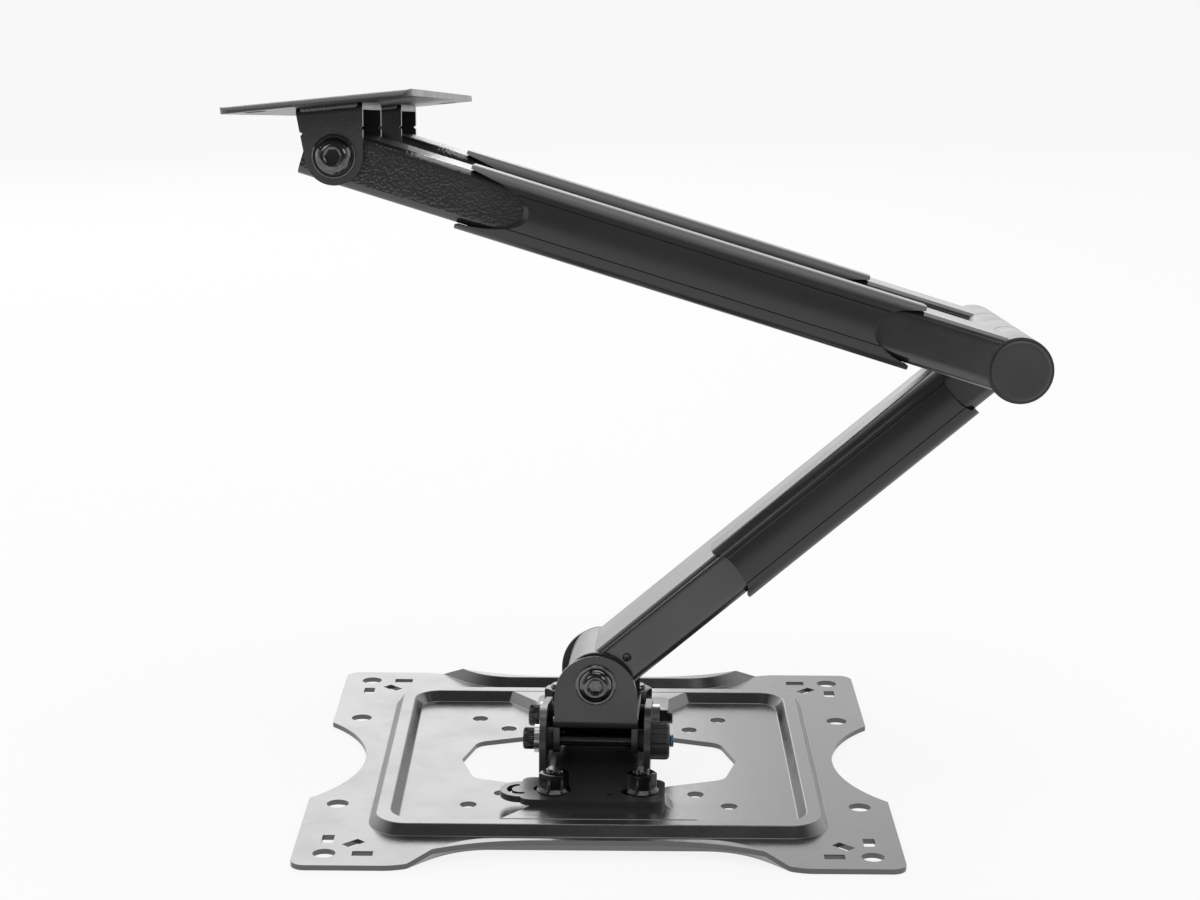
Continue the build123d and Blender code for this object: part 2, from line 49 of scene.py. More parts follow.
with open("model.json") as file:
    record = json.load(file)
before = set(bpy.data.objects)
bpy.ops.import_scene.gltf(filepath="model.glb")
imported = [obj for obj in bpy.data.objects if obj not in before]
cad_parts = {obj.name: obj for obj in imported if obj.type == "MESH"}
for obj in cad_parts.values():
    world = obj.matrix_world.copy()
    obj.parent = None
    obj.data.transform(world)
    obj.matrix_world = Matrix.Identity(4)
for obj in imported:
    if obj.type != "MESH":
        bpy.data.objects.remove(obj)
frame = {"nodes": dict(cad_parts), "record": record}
nodes = frame["nodes"]
record = frame["record"]
cad_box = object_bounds()
mm = 0.001

slot_of = {part["node"]: part["material_slot"] for part in record["subparts"]}
body_of = {node: body for body, names in record["behaviour"]["bodies"].items() for node in names}
joint_of = {joint["name"]: joint for joint in record["behaviour"]["joints"]}
joint_at = {name: Vector(joint["pos_m"]) for name, joint in joint_of.items()}
swivel_axis = Vector(joint_of["head_swivel"]["axis"])
tilt_axis = Vector(joint_of["tilt"]["axis"])
wall_normal = Vector(next(m["axis"] for m in record["mounts"] if m["name"] == "wall_face"))

PAINT_IOR = 1.8
THREAD_LOCK_BLUE = (0.10, 0.26, 0.45)
LOCK_TIP = 0.0300           # from the knob's joint to the lock bolt's tip
SHEET_MM = 2.4              # thickness of the wall plate
CREASE = radians(34)        # sharper bends of a made piece stay crisp
PRESSED = radians(62)       # gentler bends of the screen plate were pressed, and are rounder
EDGES_MM = {                # rounding of the edges of bent, welded and moulded pieces
    "tilt_bracket": 0.35, "swivel_yoke": 0.35, "lower_tube": 0.25,
    "upper_tube_near": 0.25, "upper_tube_far": 0.25,
    "wall_bracket_near": 0.35, "wall_bracket_far": 0.35,
    "tilt_knob": 0.2,
}


# Shader helpers


def new_material(name, colour, roughness, metallic=0.0, ior=1.5):
    material = bpy.data.materials.new(name)
    material.use_nodes = True
    shader = material.node_tree.nodes["Principled BSDF"]
    shader.inputs["Base Color"].default_value = (*colour, 1)
    shader.inputs["Roughness"].default_value = roughness
    shader.inputs["Metallic"].default_value = metallic
    shader.inputs["IOR"].default_value = ior
    return material, material.node_tree, shader


def place(tree):
    """Object coordinates in millimetres."""
    source = tree.nodes.new("ShaderNodeTexCoord")
    mapping = tree.nodes.new("ShaderNodeMapping")
    mapping.inputs["Scale"].default_value = (1 / mm, 1 / mm, 1 / mm)
    tree.links.new(source.outputs["Object"], mapping.inputs["Vector"])
    return mapping.outputs["Vector"]


def noise(tree, where, per_mm, detail, rough=0.5):
    node = tree.nodes.new("ShaderNodeTexNoise")
    node.inputs["Scale"].default_value = per_mm
    node.inputs["Detail"].default_value = detail
    node.inputs["Roughness"].default_value = rough
    tree.links.new(where, node.inputs["Vector"])
    return node.outputs["Fac"]


def cells(tree, where, per_mm):
    node = tree.nodes.new("ShaderNodeTexVoronoi")
    node.feature = "SMOOTH_F1"
    node.inputs["Scale"].default_value = per_mm
    node.inputs["Smoothness"].default_value = 0.6
    tree.links.new(where, node.inputs["Vector"])
    return node.outputs["Distance"]


def maths(tree, operation, first, second=None):
    """One maths node; its second value may be a number, a socket or left out."""
    node = tree.nodes.new("ShaderNodeMath")
    node.operation = operation
    tree.links.new(first, node.inputs[0])
    if isinstance(second, float):
        node.inputs[1].default_value = second
    elif second is not None:
        tree.links.new(second, node.inputs[1])
    return node.outputs[0]


def spread(tree, value, low_in, high_in, low_out, high_out):
    """Maps a value from one range to another and holds it inside."""
    node = tree.nodes.new("ShaderNodeMapRange")
    node.inputs["From Min"].default_value = low_in
    node.inputs["From Max"].default_value = high_in
    node.inputs["To Min"].default_value = low_out
    node.inputs["To Max"].default_value = high_out
    tree.links.new(value, node.inputs["Value"])
    return node.outputs["Result"]


def near_point(tree, point, inside, outside):
    """One inside a distance from a point of the part, nought outside another."""
    source = tree.nodes.new("ShaderNodeTexCoord")
    away = tree.nodes.new("ShaderNodeVectorMath")
    away.operation = "DISTANCE"
    away.inputs[1].default_value = point
    tree.links.new(source.outputs["Object"], away.inputs[0])
    return spread(tree, away.outputs["Value"], inside, outside, 1, 0)


def blend_colours(tree, factor, first, second):
    """Goes from a colour, or from a socket that gives one, to another colour."""
    node = tree.nodes.new("ShaderNodeMix")
    node.data_type = "RGBA"
    tree.links.new(factor, node.inputs[0])
    if isinstance(first, tuple):
        node.inputs[6].default_value = (*first, 1)
    else:
        tree.links.new(first, node.inputs[6])
    node.inputs[7].default_value = (*second, 1)
    return node.outputs[2]


def choose(tree, factor, first, second):
    """Shows one shader where the factor is nought and the other where it is one."""
    node = tree.nodes.new("ShaderNodeMixShader")
    for socket, source in zip(node.inputs, (factor, first, second)):
        tree.links.new(source, socket)
    return node.outputs[0]


def two_tones(tree, shader, factor, colour, share):
    """Lets the colour drift to a lighter or darker share of itself."""
    other = tuple(share * c for c in colour)
    tree.links.new(blend_colours(tree, factor, colour, other), shader.inputs["Base Color"])


def uneven_gloss(tree, shader, patches, low, high):
    """Lets the roughness drift between two values."""
    tree.links.new(spread(tree, patches, 0.3, 0.7, low, high), shader.inputs["Roughness"])


def bumps(tree, shader, layers, normal=None):
    """Chains bump nodes: each layer is a height, its strength and its depth in millimetres."""
    for height, strength, depth_mm in layers:
        node = tree.nodes.new("ShaderNodeBump")
        node.inputs["Strength"].default_value = strength
        node.inputs["Distance"].default_value = depth_mm * mm
        tree.links.new(height, node.inputs["Height"])
        if normal is not None:
            tree.links.new(normal, node.inputs["Normal"])
        normal = node.outputs["Normal"]
    tree.links.new(normal, shader.inputs["Normal"])


# Finishes


def powder_coat(name, colour, grain_mm, depth_mm, roughness, ior=PAINT_IOR):
    """Baked black powder: rounded grains, a slow orange-peel wave and slightly uneven gloss."""
    material, tree, shader = new_material(name, colour, roughness, ior=ior)
    where = place(tree)
    grain = cells(tree, where, 1 / grain_mm)
    fine = noise(tree, where, 2.4 / grain_mm, 3)
    peel = noise(tree, where, 0.22, 2)
    uneven_gloss(tree, shader, noise(tree, where, 0.05, 3), roughness - 0.05, roughness + 0.06)
    two_tones(tree, shader, spread(tree, fine, 0.45, 0.72, 0, 1), colour, 1.5)
    bumps(tree, shader, ((peel, 0.15, 0.3), (grain, 0.8, depth_mm), (fine, 0.5, depth_mm / 2)))
    return material


def satin_paint(name, colour, roughness):
    """Smooth stoved paint with faint orange peel and a few fine nibs of dust."""
    material, tree, shader = new_material(name, colour, roughness, ior=PAINT_IOR)
    where = place(tree)
    peel = noise(tree, where, 0.5, 2)
    fine = noise(tree, where, 3.5, 4)
    uneven_gloss(tree, shader, noise(tree, where, 0.04, 4), roughness - 0.04, roughness + 0.06)
    two_tones(tree, shader, fine, colour, 1.35)
    bumps(tree, shader, ((peel, 0.12, 0.12), (fine, 0.22, 0.02)))
    return material


def arm_paint(name, colour, roughness):
    """Smooth satin paint that turns into a coarse hammered grain towards the wall end."""
    material = satin_paint(name, colour, roughness)
    tree = material.node_tree
    shader = tree.nodes["Principled BSDF"]
    smooth = shader.inputs["Normal"].links[0].from_socket
    all_rough, all_smooth = 0.06, 0.13      # distances from the wall bolts
    rough_end = near_point(tree, joint_at["wall_swivel"], all_rough, all_smooth)
    grain = maths(tree, "MULTIPLY", cells(tree, place(tree), 1.0), rough_end)
    bumps(tree, shader, ((grain, 0.85, 0.20),), smooth)
    return material


def moulded_plastic(name, colour, roughness, grain_mm=0.35, depth_mm=0.012):
    """Spark-eroded mould grain with a slow waviness of the wall."""
    material, tree, shader = new_material(name, colour, roughness)
    where = place(tree)
    grain = noise(tree, where, 1 / grain_mm, 3, 0.65)
    wave = noise(tree, where, 0.06, 1)
    uneven_gloss(tree, shader, noise(tree, where, 0.03, 3), roughness - 0.04, roughness + 0.05)
    two_tones(tree, shader, grain, colour, 1.3)
    bumps(tree, shader, ((wave, 0.1, 0.3), (grain, 0.35, depth_mm)))
    return material


def plated_steel(name, colour, roughness, mark=0.25):
    """Plated steel: tumbling marks, small pits and a patchy sheen."""
    material, tree, shader = new_material(name, colour, roughness, metallic=1.0)
    where = place(tree)
    marks = noise(tree, where, 3.0, 4, 0.6)
    patches = noise(tree, where, 0.35, 3)
    uneven_gloss(tree, shader, patches, roughness - 0.05, roughness + 0.1)
    two_tones(tree, shader, spread(tree, patches, 0.3, 0.7, 0, 1), colour, 0.62)
    bumps(tree, shader, ((marks, mark, 0.015),))
    return material


def screw_steel(name, colour, roughness, patch_at):
    """Dark plated steel, with a patch of blue thread lock on one bolt's tip."""
    material = plated_steel(name, colour, roughness, mark=0.1)
    tree = material.node_tree
    shader = tree.nodes["Principled BSDF"]
    steel = shader.inputs["Base Color"].links[0].from_socket
    patch = near_point(tree, patch_at, 0.0022, 0.0027)
    tree.links.new(blend_colours(tree, patch, steel, THREAD_LOCK_BLUE),
                   shader.inputs["Base Color"])
    tree.links.new(spread(tree, patch, 0, 1, 1, 0), shader.inputs["Metallic"])
    return material


lock_tip = joint_at["knob_turn"] + LOCK_TIP * tilt_axis

finish = {
    "plate_paint": powder_coat("plate_paint", (0.020, 0.020, 0.021), 0.42, 0.022, 0.20, ior=2.0),
    "bracket_paint": satin_paint("bracket_paint", (0.018, 0.018, 0.019), 0.32),
    "tube_paint": arm_paint("tube_paint", (0.018, 0.018, 0.019), 0.20),
    "sleeve_paint": satin_paint("sleeve_paint", (0.014, 0.014, 0.015), 0.25),
    "wall_paint": powder_coat("wall_paint", (0.017, 0.017, 0.018), 0.60, 0.07, 0.32),
    "cover_plastic": moulded_plastic("cover_plastic", (0.022, 0.022, 0.024), 0.26),
    "cap_plastic": moulded_plastic("cap_plastic", (0.034, 0.034, 0.036), 0.55, 0.25, 0.02),
    "bush_plastic": moulded_plastic("bush_plastic", (0.012, 0.012, 0.013), 0.62),
    "knob_plastic": moulded_plastic("knob_plastic", (0.027, 0.027, 0.029), 0.55, 0.25, 0.02),
    "black_bolt": plated_steel("black_bolt", (0.15, 0.15, 0.155), 0.12, 0.08),
    "black_nut": plated_steel("black_nut", (0.07, 0.07, 0.074), 0.16, 0.08),
    "screw_steel": screw_steel("screw_steel", (0.10, 0.10, 0.105), 0.24, lock_tip),
    "bright_steel": plated_steel("bright_steel", (0.62, 0.62, 0.63), 0.30),
}

for node, piece in nodes.items():
    for slot in piece.material_slots:
        slot.material = finish[slot_of[node]]


# Mesh helpers


def add_piece(name, mesh, node, slot=None, replace=True):
    """Shows a mesh as a piece that rides with a CAD node's body and takes its finish."""
    piece = bpy.data.objects.new(name, mesh)
    bpy.context.scene.collection.objects.link(piece)
    slot = slot or slot_of[node]
    piece.data.materials.clear()
    piece.data.materials.append(finish[slot])
    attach(piece, body_of[node])
    if replace:
        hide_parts(node)


def add_shape(name, shape, node, slot=None, replace=True):
    """Shows a built shape as a piece, smooth apart from its creases."""
    bmesh.ops.recalc_face_normals(shape, faces=shape.faces)
    mesh = bpy.data.meshes.new(name)
    shape.to_mesh(mesh)
    shape.free()
    mesh.shade_smooth()
    mesh.set_sharp_from_angle(angle=CREASE)
    add_piece(name, mesh, node, slot, replace)


def applied(piece):
    """The piece's mesh with its modifiers worked in."""
    graph = bpy.context.evaluated_depsgraph_get()
    return bpy.data.meshes.new_from_object(piece.evaluated_get(graph))


def softened(node, width_mm, segments=2, angle=28, press_mm=0, shape=None):
    """Stands for a CAD node, with the rounding that pressing, moulding and paint leave on edges."""
    if shape is None:
        shape = bmesh.new()
        shape.from_mesh(nodes[node].data)
    same_point, flat = 0.01 * mm, radians(0.4)
    bmesh.ops.remove_doubles(shape, verts=shape.verts, dist=same_point)
    bmesh.ops.dissolve_degenerate(shape, dist=same_point, edges=shape.edges)
    bmesh.ops.dissolve_limit(shape, angle_limit=flat, verts=shape.verts, edges=shape.edges)
    wide = max(width_mm, press_mm)
    weight = shape.edges.layers.float.new("bevel_weight_edge")
    for edge in shape.edges:
        bend = edge.calc_face_angle(0)
        if bend > radians(angle):
            pressed = press_mm and bend < PRESSED
            edge[weight] = 1 if pressed else width_mm / wide
    mesh = bpy.data.meshes.new(node + "_finish")
    shape.to_mesh(mesh)
    shape.free()
    for layer in ("custom_normal", "sharp_edge"):
        if layer in mesh.attributes:
            mesh.attributes.remove(mesh.attributes[layer])
    mesh.shade_smooth()
    helper = bpy.data.objects.new(node + "_helper", mesh)
    bpy.context.scene.collection.objects.link(helper)
    bevel = helper.modifiers.new("edges", "BEVEL")
    bevel.width = wide * mm
    bevel.segments = segments
    bevel.limit_method = "WEIGHT"
    bevel.use_clamp_overlap = True
    bevel.harden_normals = True
    result = applied(helper)
    bpy.data.objects.remove(helper)
    add_piece(node + "_finish", result, node)


def place_at(origin, along, side):
    """From millimetres, with Z along one direction and X towards another, to the scene."""
    z = Vector(along).normalized()
    x = Vector(side)
    x = (x - x.dot(z) * z).normalized()
    turn = Matrix((x, z.cross(x), z)).transposed().to_4x4()
    return Matrix.Translation(origin) @ turn @ Matrix.Scale(mm, 4)


def reach(node, where):
    """Lowest and highest corners of a CAD node, in a place's own millimetres."""
    back = where.inverted()
    points = [back @ vertex.co for vertex in nodes[node].data.vertices]
    return [Vector([pick(point[i] for point in points) for i in range(3)]) for pick in (min, max)]


def ring(radius, height, count=72):
    """Closed row of points; the radius and the height may depend on the angle."""
    points = []
    for i in range(count):
        angle = tau * i / count
        r = radius(angle) if callable(radius) else radius
        h = height(angle) if callable(height) else height
        points.append((r * cos(angle), r * sin(angle), h))
    return points


def hexagon(flat):
    """Radius of a hexagon at an angle, from its width across flats."""
    return lambda angle: flat / 2 / cos((angle + pi / 6) % (pi / 3) - pi / 6)


def skin(name, rings, where, node, closed=False, slot=None, replace=True):
    """Joins rows of points, each a single point or equally many, into one piece."""
    shape = bmesh.new()
    rows = [[shape.verts.new(where @ Vector(point)) for point in row] for row in rings]
    if closed:
        rows.append(rows[0])
    for low, high in zip(rows, rows[1:]):
        count = max(len(low), len(high))
        for i in range(count):
            j = (i + 1) % count
            corners = (low[i % len(low)], low[j % len(low)],
                       high[j % len(high)], high[i % len(high)])
            shape.faces.new(list(dict.fromkeys(corners)))
    add_shape(name, shape, node, slot, replace)


# Cable covers and the wall plate, in millimetres of a place of their own


def arm_place(first, second):
    """A tube's place: X along it from one joint to the next, Y along the joints' axes."""
    along = joint_at[second] - joint_at[first]
    return place_at(joint_at[first], along.cross(swivel_axis), along)


def wall_place():
    """The wall plate's place, Z along its normal, and the height of its sheet's underside."""
    where = place_at(joint_at["wall_swivel"], wall_normal, swivel_axis.cross(wall_normal))
    return where, reach("wall_plate", where)[1].z - SHEET_MM


def cover_line(half, crown, bow, corner, lip):
    """Half of a cover's outline, crown to lip, as (depth, height) pairs, with its groove line."""
    crown_steps, corner_steps = 12, 8
    points = []
    for k in range(crown_steps + 1):
        height = (half - corner) * k / crown_steps
        points.append((-crown + bow * (height / half) ** 2, height))
    groove_start, groove_floor, groove_depth = 0.35, 0.1, 0.4
    before, (depth, height) = points[-2][0], points[-1]
    points[-1:-1] = [(before * 0.3 + depth * 0.7, height - groove_start),
                     (depth + groove_depth, height - groove_floor)]
    for k in range(1, corner_steps + 1):
        a = pi / 2 * k / corner_steps
        points.append((depth + corner * (1 - cos(a)), half - corner + corner * sin(a)))
    points.append((lip, half))
    return points


def cable_cover(node, where, notches, wall=1.5, half=12.0, crown=4.6, bow=2.2, corner=5.5):
    """Clip-on channel whose crown has a rounded notch with a bevelled rim at each end."""
    low, high = reach(node, where)
    middle = (low.z + high.z) / 2
    face = low.y + crown
    outer = cover_line(half, crown, bow, corner, high.y - face)
    inner = cover_line(half - wall, crown - wall, bow, corner - wall, high.y - face)
    outer = [(d, -h) for d, h in reversed(outer)] + outer[1:]
    inner = [(d, -h) for d, h in reversed(inner)] + inner[1:]
    mouth = half - 1.4 * wall
    uncut_depth, bevel, squareness, roundness = 2.5, 1.09, 2.3, 0.62

    def cut(height, depth, notch, inside):
        """How far a notch sets a point of the section back from the cover's end."""
        if depth > uncut_depth or abs(height) >= mouth:
            return 0
        lean = 1.0 if inside else bevel
        return notch * lean * (1 - (abs(height) / mouth) ** squareness) ** roundness

    def row(points, end, notch, inside):
        sign = 1 if end is low else -1
        return [(end.x + sign * cut(h, d, notch, inside), face + d, middle + h) for d, h in points]

    shape = bmesh.new()
    loops = []
    for end, notch in ((low, notches[0]), (high, notches[1])):
        for points, inside in ((outer, False), (inner, True)):
            section = row(points, end, notch, inside)
            loops.append([shape.verts.new(where @ Vector(point)) for point in section])
    outer_low, inner_low, outer_high, inner_high = loops
    for first, second in ((outer_low, outer_high), (inner_low, inner_high),
                          (outer_low, inner_low), (outer_high, inner_high)):
        for i in range(len(first) - 1):
            shape.faces.new((first[i], first[i + 1], second[i + 1], second[i]))
    for i in (0, -1):
        shape.faces.new((outer_low[i], outer_high[i], inner_high[i], inner_low[i]))
    add_shape(node + "_moulded", shape, node)


def wall_sheet():
    """The wall plate as a plain sheet, as its photographed edge is, with no turned-down ends."""
    where, plate_under = wall_place()
    back = where.inverted()
    shape = bmesh.new()
    shape.from_mesh(nodes["wall_plate"].data)
    for vertex in shape.verts:
        local = back @ vertex.co
        local.z = max(local.z, plate_under)
        vertex.co = where @ local
    return shape


# Fasteners and welds, in millimetres along their own axis. A row's numbers are edge radii,
# chamfers and socket depths.


def thread(radius, pitch, start, stop, count=72):
    """Rows of a screw thread that fades out at both ends."""
    rows = []
    full_depth, rows_per_turn = 0.55 * pitch, 6
    steps = round(rows_per_turn * (stop - start) / pitch)
    for k in range(steps + 1):
        h = start + (stop - start) * k / steps
        depth = full_depth * min(1, (h - start) / pitch, (stop - h) / pitch + 0.3)
        rows.append(ring(lambda a: radius - depth * abs(2 * ((h / pitch - a / tau) % 1) - 1),
                         h, count))
    return rows


def chamfered(flat, top, sign):
    """Height of a hexagon's edge where a chamfer of 30 degrees cuts its corners."""
    side = hexagon(flat)
    slope, flat_edge = 0.577, 0.15
    return lambda angle: top - sign * slope * (side(angle) - flat / 2 + flat_edge)


def cap_screw(node, where, head=4.5, shaft=2.5, flat=4.0, count=144):
    """Socket cap screw with a knurled head and a threaded end."""
    low, high = reach(node, where)
    top, wide = low.z, high.y
    under = top + head

    def knurl(angle):
        return wide - 0.14 * (1 + cos(36 * angle))

    rows = [[(0, 0, top + 2.5)],
            ring(hexagon(flat), top + 2.4, count), ring(hexagon(flat), top + 0.3, count),
            ring(flat * 0.62, top, count), ring(wide - 0.8, top, count),
            ring(wide - 0.35, top + 0.25, count), ring(knurl, top + 0.7, count),
            ring(knurl, under - 0.5, count), ring(wide - 0.4, under, count),
            ring(shaft, under, count)]
    rows += thread(shaft, 0.8, high.z - 6, high.z - 0.3, count)
    rows += [ring(shaft - 0.55, high.z, count), [(0, 0, high.z)]]
    skin(node + "_knurled", rows, where, node)


def button_bolt(node, where, head=4.4, flange=1.2, dome=6.7, rim=7.8, shaft=4.0, flat=5.0):
    """Button head with a rolled rim, a hexagon socket and a threaded end."""
    low, high = reach(node, where)
    top, under = low.z, low.z + head
    crown, dome_steps = flat * 0.7, 8
    rows = [[(0, 0, top + 2.6)], ring(hexagon(flat), top + 2.5), ring(hexagon(flat), top + 0.35),
            ring(flat * 0.62, top + 0.05), ring(crown, top)]
    for k in range(1, dome_steps + 1):
        a = pi / 2 * k / dome_steps
        rows.append(ring(crown + (dome - crown) * sin(a), top + (head - flange) * (1 - cos(a))))
    rows += [ring(dome + 0.1, under - flange), ring(rim - 0.35, under - flange),
             ring(rim, under - flange + 0.3), ring(rim, under - 0.2), ring(rim - 0.2, under),
             ring(shaft, under)]
    rows += thread(shaft, 1.25, high.z - 10, high.z - 0.4)
    rows += [ring(shaft - 0.8, high.z), [(0, 0, high.z)]]
    skin(node + "_button", rows, where, node)


def flange_nut(node, where, flat=10.0, flange=1.4, bore=3.0):
    """Hexagon nut that grows out of a round flange."""
    low, high = reach(node, where)
    rim, base, top = high.x, low.z, high.z
    rows = [ring(bore, base), ring(rim - 0.2, base), ring(rim, base + 0.2), ring(rim, base + 0.45),
            ring(rim - 0.3, base + 0.7), ring(hexagon(flat), base + flange + 0.25),
            ring(hexagon(flat), chamfered(flat, top, 1)), ring(flat / 2 - 0.25, top),
            ring(bore + 0.4, top), ring(bore, top - 0.4)]
    skin(node + "_flanged", rows, where, node, closed=True)


def hex_nut(node, where, flat, bore, collar=0.0, slot=None):
    """Chamfered nut; a collar is the round top that holds a nylon ring."""
    low, high = reach(node, where)
    base, top = low.z, high.z
    shoulder = top - collar
    rows = [ring(bore, base), ring(flat / 2 - 0.25, base),
            ring(hexagon(flat), chamfered(flat, base, -1)),
            ring(hexagon(flat), chamfered(flat, shoulder, 1)), ring(flat / 2 - 0.25, shoulder)]
    if collar:
        rows += [ring(flat / 2 - 0.7, shoulder + 0.1), ring(flat / 2 - 0.8, top - 0.7),
                 ring(flat / 2 - 1.3, top), ring(bore + 0.9, top - 0.1)]
    rows += [ring(bore + 0.4, top), ring(bore, top - 0.4)]
    skin(node + "_hex", rows, where, node, closed=True, slot=slot)


def level_stud(node, where, shaft=3.0, head=2.2):
    """Flat-headed stud with a threaded end."""
    low, high = reach(node, where)
    wide = high.x
    rows = [[(0, 0, low.z)], ring(wide - 0.4, low.z), ring(wide, low.z + 0.4),
            ring(wide, low.z + head), ring(shaft, low.z + head)]
    rows += thread(shaft, 1.0, high.z - 8, high.z - 0.5)
    rows += [ring(shaft - 0.7, high.z), [(0, 0, high.z)]]
    skin(node + "_threaded", rows, where, node)


def set_screw(node, where, sunk=0.6, flat=1.8):
    """Headless screw with a hexagon socket, a little below the face it is in."""
    low, high = reach(node, where)
    wide, face = high.x, low.z + sunk
    rows = [[(0, 0, face + 1.6)], ring(hexagon(flat), face + 1.5), ring(hexagon(flat), face + 0.1),
            ring(wide - 0.4, face), ring(wide, face + 0.4), ring(wide, high.z - 0.4),
            ring(wide - 0.4, high.z), [(0, 0, high.z)]]
    skin(node + "_socket", rows, where, node)


def weld_bead(name, node, start, stop, radius, seed):
    """Bead with the overlapping ripples of a hand-held torch, between two points in metres."""
    span = (stop - start).length / mm
    where = place_at(start, stop - start, (0.3, 0.5, 0.8))
    rows_per_mm, ripple_mm, sides = 2.2, 1.5, 14
    steps = max(8, round(span * rows_per_mm))
    rows = [[(0, 0, 0)]]
    for k in range(1, steps):
        h = span * k / steps
        end = min(1, 1.6 * min(h, span - h) / radius) ** 0.5
        uneven = 0.22 * ripple.noise(Vector((h * 0.45, seed, 0)))
        swell = 1 + 0.10 * sin(tau * h / ripple_mm) + uneven
        rows.append(ring(radius * end * swell, h, sides))
    rows.append([(0, 0, span)])
    skin(name, rows, where, node, replace=False)


# Camera, at the photograph's place


def add_camera():
    camera = bpy.data.objects.new("camera", bpy.data.cameras.new("camera"))
    bpy.context.scene.collection.objects.link(camera)
    camera.data.sensor_width = 36
    camera.data.sensor_fit = "HORIZONTAL"
    camera.data.lens = 76.67
    camera.location = (-0.00086, -0.97297, 0.35669)
    turn = Vector((0.2287, 0.0005, 0.0074))     # its axis, as long as its angle
    level = Matrix(((1, 0, 0), (0, 0, -1), (0, 1, 0)))
    right, down, forward = Matrix.Rotation(turn.length, 3, turn) @ level
    camera.rotation_euler = Matrix((right, -down, -forward)).transposed().to_euler()
    bpy.context.scene.camera = camera


# Studio


def add_world():
    """White to the camera and plain as a light. Gloss sees it dark in front, and bright behind,
    brightest where it glows straight behind and to the sides."""
    plain, front, behind, more_behind, more_aside = 0.55, 0.11, 1.2, 0.3, 0.6
    world = bpy.data.worlds.new("studio")
    bpy.context.scene.world = world
    world.use_nodes = True
    tree = world.node_tree
    tree.nodes.clear()
    direction = tree.nodes.new("ShaderNodeTexCoord").outputs["Generated"]
    parts = tree.nodes.new("ShaderNodeSeparateXYZ")
    tree.links.new(direction, parts.inputs["Vector"])
    aside = maths(tree, "ABSOLUTE", parts.outputs["X"])
    gloss_level = spread(tree, parts.outputs["Y"], -0.35, 0.45, front, behind)
    back_glow = spread(tree, parts.outputs["Y"], 0.75, 0.95, 0, more_behind)
    side_glow = spread(tree, aside, 0.6, 0.95, 0, more_aside)
    for glow in (back_glow, side_glow):
        gloss_level = maths(tree, "ADD", gloss_level, glow)
    rays = tree.nodes.new("ShaderNodeLightPath")

    def sky(strength):
        node = tree.nodes.new("ShaderNodeBackground")
        node.inputs["Color"].default_value = (1, 1, 1, 1)
        if isinstance(strength, float):
            node.inputs["Strength"].default_value = strength
        else:
            tree.links.new(strength, node.inputs["Strength"])
        return node.outputs["Background"]

    shown = choose(tree, rays.outputs["Is Glossy Ray"], sky(plain), sky(gloss_level))
    shown = choose(tree, rays.outputs["Is Camera Ray"], shown, sky(1.0))
    output = tree.nodes.new("ShaderNodeOutputWorld")
    tree.links.new(shown, output.inputs["Surface"])


def add_lamp(name, stands_at, aim, width, height, watts):
    lamp = bpy.data.lights.new(name, "AREA")
    lamp.shape = "RECTANGLE"
    lamp.size, lamp.size_y = width, height
    lamp.energy = watts
    piece = bpy.data.objects.new(name, lamp)
    bpy.context.scene.collection.objects.link(piece)
    piece.location = stands_at
    piece.rotation_mode = "QUATERNION"
    piece.rotation_quaternion = (Vector(aim) - Vector(stands_at)).to_track_quat("-Z", "Y")


def add_floor():
    """Pale studio floor: near white to the camera and to gloss, and it keeps the soft shadow."""
    half, gap, card, glow_share = 6.0, 0.0001, 0.86, 0.86
    level = cad_box[0].z - gap
    mesh = bpy.data.meshes.new("floor")
    mesh.from_pydata([(-half, -half, level), (half, -half, level),
                      (half, half, level), (-half, half, level)], [], [(0, 1, 2, 3)])
    material, tree, shader = new_material("floor_card", (card, card, card), 0.7)
    glow = tree.nodes.new("ShaderNodeEmission")
    glow.inputs["Strength"].default_value = 1.0
    rays = tree.nodes.new("ShaderNodeLightPath")
    seen = maths(tree, "MAXIMUM", rays.outputs["Is Camera Ray"], rays.outputs["Is Glossy Ray"])
    share = maths(tree, "MULTIPLY", seen, glow_share)
    shown = choose(tree, share, shader.outputs[0], glow.outputs[0])
    tree.links.new(shown, tree.nodes["Material Output"].inputs["Surface"])
    piece = bpy.data.objects.new("floor", mesh)
    piece.data.materials.append(material)
    bpy.context.scene.collection.objects.link(piece)


# Making


def add_fasteners():
    up = (0, 0, 1)
    pivot, lock = (place_at(joint_at[name], tilt_axis, up) for name in ("tilt", "knob_turn"))
    cap_screw("pivot_bolt", pivot)
    cap_screw("lock_bolt", lock)
    hex_nut("pivot_nut", pivot, 8.0, 2.5, slot="black_nut")
    head = place_at(joint_at["head_swivel"], swivel_axis, up)
    button_bolt("head_bolt", head)
    hex_nut("head_nut", head, 13.0, 4.0, collar=1.8)
    for side, axis in (("near", swivel_axis), ("far", -swivel_axis)):
        where = place_at(joint_at["wall_swivel"], axis, up)
        button_bolt("wall_bolt_" + side, where)
        hex_nut("wall_nut_" + side, where, 13.0, 4.0, collar=1.8)
    for corner in ("front_left", "front_right", "rear_left", "rear_right"):
        low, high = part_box("level_stud_" + corner)
        centre = ((low[0] + high[0]) / 2, (low[1] + high[1]) / 2, 0)
        level_stud("level_stud_" + corner, place_at(centre, up, (1, 0, 0)))
        flange_nut("level_nut_" + corner, place_at(centre, up, (0.8, 0.6, 0)))
    bore, outside, half = 2.6, 7.5, 14
    tube = [ring(bore, -half), ring(outside, -half), ring(outside, half), ring(bore, half)]
    skin("pivot_tube", tube, pivot, "swivel_yoke", closed=True, slot="bush_plastic", replace=False)
    low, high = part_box("stop_screw")
    set_screw("stop_screw", place_at((Vector(low) + Vector(high)) / 2, swivel_axis, up))


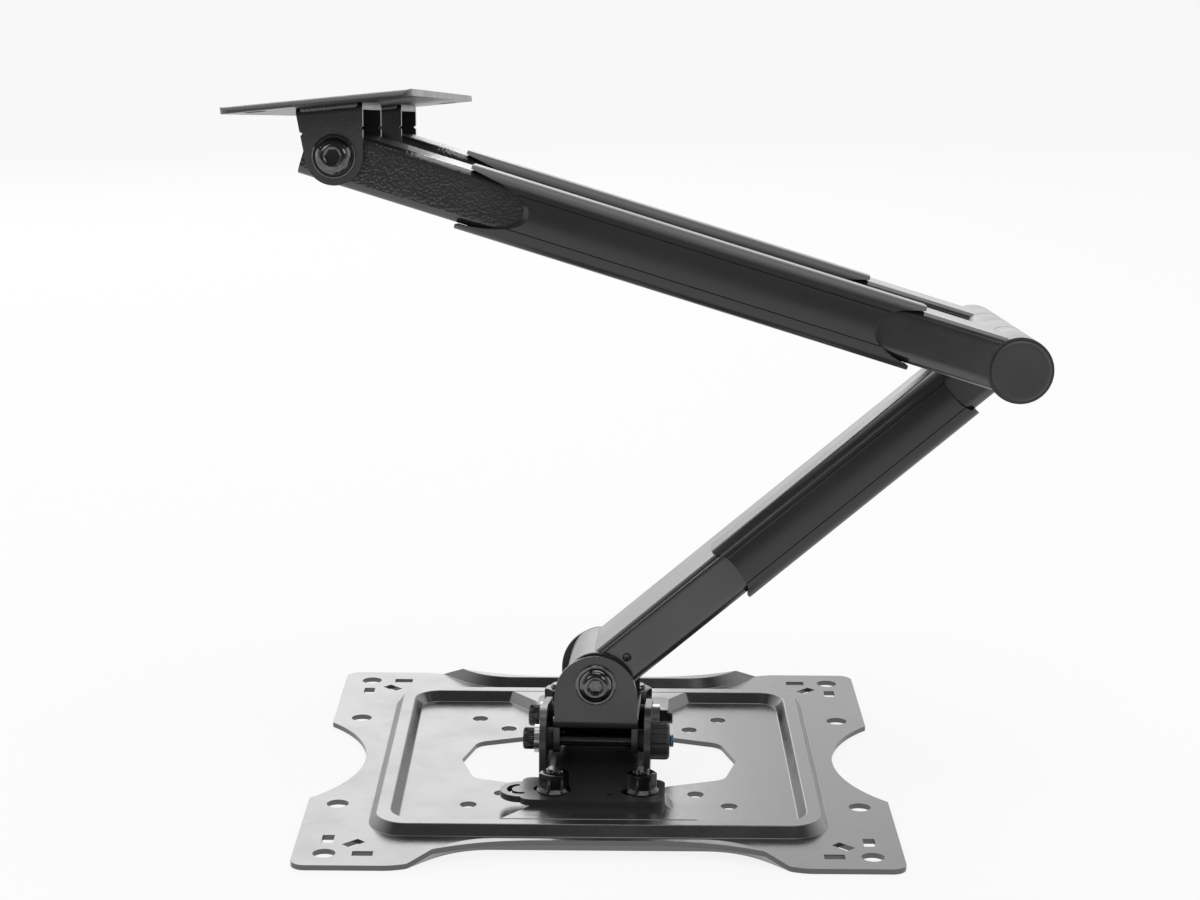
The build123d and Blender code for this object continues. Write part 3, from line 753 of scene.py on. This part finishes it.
def add_welds():
    """Beads between the wall plate and its brackets' ears, and under the lower arm's sleeves."""
    wall, plate_under = wall_place()
    ear_half, ear_inset, ear_drop, ear_bead = 10.6, 0.4, 0.5, 1.25
    sleeve_radius, off_sleeve, tube_inset, sleeve_bead = 12.0, 0.3, 1, 1.2
    for side in ("near", "far"):
        low, high = reach("wall_bracket_" + side, wall)
        for end, y in (("a", low.y + ear_inset), ("b", high.y - ear_inset)):
            z = plate_under - ear_drop
            weld_bead(f"ear_weld_{side}_{end}", "wall_bracket_" + side,
                      wall @ Vector((-ear_half, y, z)), wall @ Vector((ear_half, y, z)),
                      ear_bead, 1 + y)
    for name, first, second in (("head", "head_swivel", "elbow"),
                                ("elbow", "elbow", "head_swivel")):
        arm = arm_place(first, second)
        low, high = reach("lower_tube", arm)
        x = (sleeve_radius ** 2 - low.z ** 2) ** 0.5 + off_sleeve
        weld_bead(f"sleeve_weld_{name}", "lower_tube",
                  arm @ Vector((x, low.y + tube_inset, low.z)),
                  arm @ Vector((x, high.y - tube_inset, low.z)), sleeve_bead, x)


for node, width_mm in EDGES_MM.items():
    softened(node, width_mm)
softened("screen_plate", 0.3, segments=4, angle=18, press_mm=1.5)
softened("wall_plate", 0.35, shape=wall_sheet())
for side in ("near", "far"):
    softened("elbow_cap_" + side, 1.0, segments=4)
cable_cover("lower_cover", arm_place("head_swivel", "elbow"), (3.5, 3.5))
for side in ("near", "far"):
    cable_cover("upper_cover_" + side, arm_place("elbow", "wall_swivel"), (14.5, 22.5))
add_fasteners()
add_welds()

add_camera()
add_world()
add_lamp("top_box", (0.2, -0.1, 1.7), (0, 0, 0.1), 1.6, 1.2, 9)
add_lamp("back_box", (-0.6, 1.6, 1.0), (0, 0, 0.15), 1.6, 1.2, 10)
add_lamp("camera_box_right", (0.8, -1.5, 0.9), (0, 0, 0.12), 0.45, 0.45, 1.9)
add_lamp("camera_box_left", (-0.8, -1.5, 0.9), (0, 0, 0.12), 0.45, 0.45, 1.6)
add_floor()
bpy.context.scene.view_settings.view_transform = "Standard"
